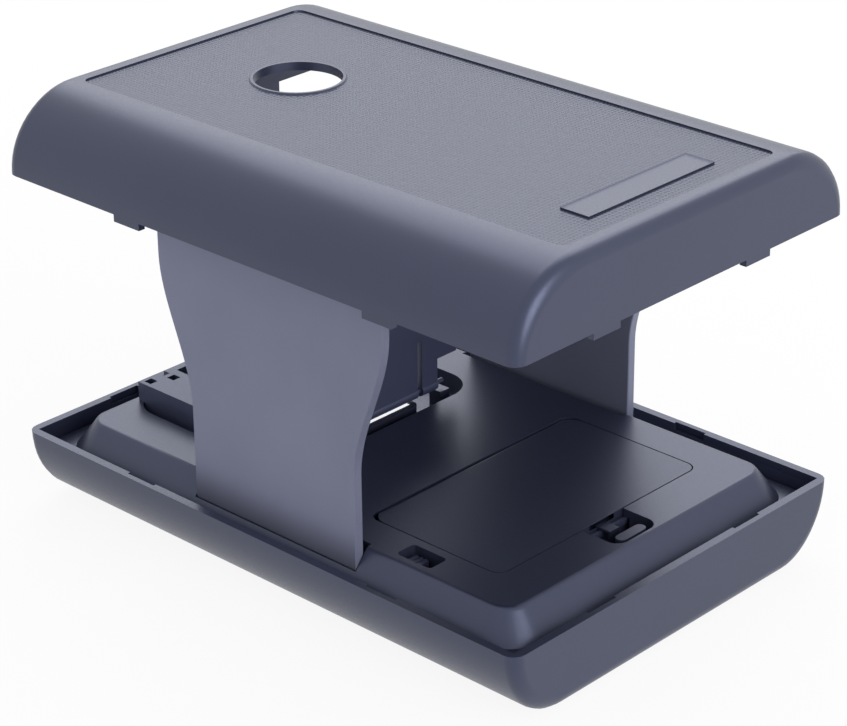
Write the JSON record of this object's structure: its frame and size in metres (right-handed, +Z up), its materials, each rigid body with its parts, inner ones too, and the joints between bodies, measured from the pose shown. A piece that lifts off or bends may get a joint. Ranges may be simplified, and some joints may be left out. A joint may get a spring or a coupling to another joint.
{
  "type": "film negative scanner",
  "caption": "Folding stand with a backlit film stage in its base, two side panels and a lift-off cover whose round hole lets a phone's camera look down on the film.",
  "frame": {"origin": "centre of the footprint on the ground under the rubber feet", "axes": "+X along the long side towards the battery door, +Y towards the far side panel, +Z up"},
  "size_m": [0.15, 0.1044, 0.0989],
  "materials": {
    "shell_black": "fine matte black moulding",
    "panel_black": "smooth matte black moulding",
    "guide_black": "matte black moulding",
    "diffuser_white": "milky white diffuser",
    "board_white": "white reflector and board",
    "knob_grey": "matte grey",
    "steel": "plain steel",
    "cell_silver": "bare metal can",
    "rubber_grey": "matte rubber"
  },
  "bodies": {
    "base": {"base_shell": "shell_black", "base_deck": "shell_black", "film_guide": "guide_black", "light_diffuser": "diffuser_white", "light_reflector": "board_white", "led_board": "board_white", "board_screws": "steel", "battery_well": "guide_black", "battery_cells": "cell_silver", "battery_contacts": "steel", "switch_body": "steel", "flap_pin": "steel", "near_panel_pin": "steel", "far_panel_pin": "steel", "housing_screws": "steel", "rubber_feet": "rubber_grey"},
    "battery_door": {"battery_door": "shell_black"},
    "switch_knob": {"switch_knob": "knob_grey"},
    "film_flap": {"film_flap": "guide_black"},
    "near_panel": {"near_panel": "panel_black"},
    "far_panel": {"far_panel": "panel_black"},
    "cover": {"cover_shell": "shell_black", "cover_seats": "shell_black"}
  },
  "joints": [
    {"name": "battery_door_hinge", "type": "hinge", "parent": "base", "child": "battery_door", "pos_m": [0.0168, 0, 0.0198], "axis": [0, -1, 0], "range_deg": [0, 60]},
    {"name": "light_switch_slide", "type": "slide", "parent": "base", "child": "switch_knob", "axis": [1, 0, 0], "range_m": [0, 0.0035]},
    {"name": "film_flap_hinge", "type": "hinge", "parent": "base", "child": "film_flap", "pos_m": [-0.016, 0, 0.0226], "axis": [0, -1, 0], "range_deg": [0, 90]},
    {"name": "near_panel_fold", "type": "hinge", "parent": "base", "child": "near_panel", "pos_m": [0, -0.04435, 0.0166], "axis": [-1, 0, 0], "range_deg": [0, 25]},
    {"name": "far_panel_fold", "type": "hinge", "parent": "base", "child": "far_panel", "pos_m": [0, 0.04435, 0.0166], "axis": [1, 0, 0], "range_deg": [0, 25]},
    {"name": "cover_lift", "type": "slide", "parent": "base", "child": "cover", "axis": [0, 0, 1], "range_m": [0, 0.03]}
  ]
}
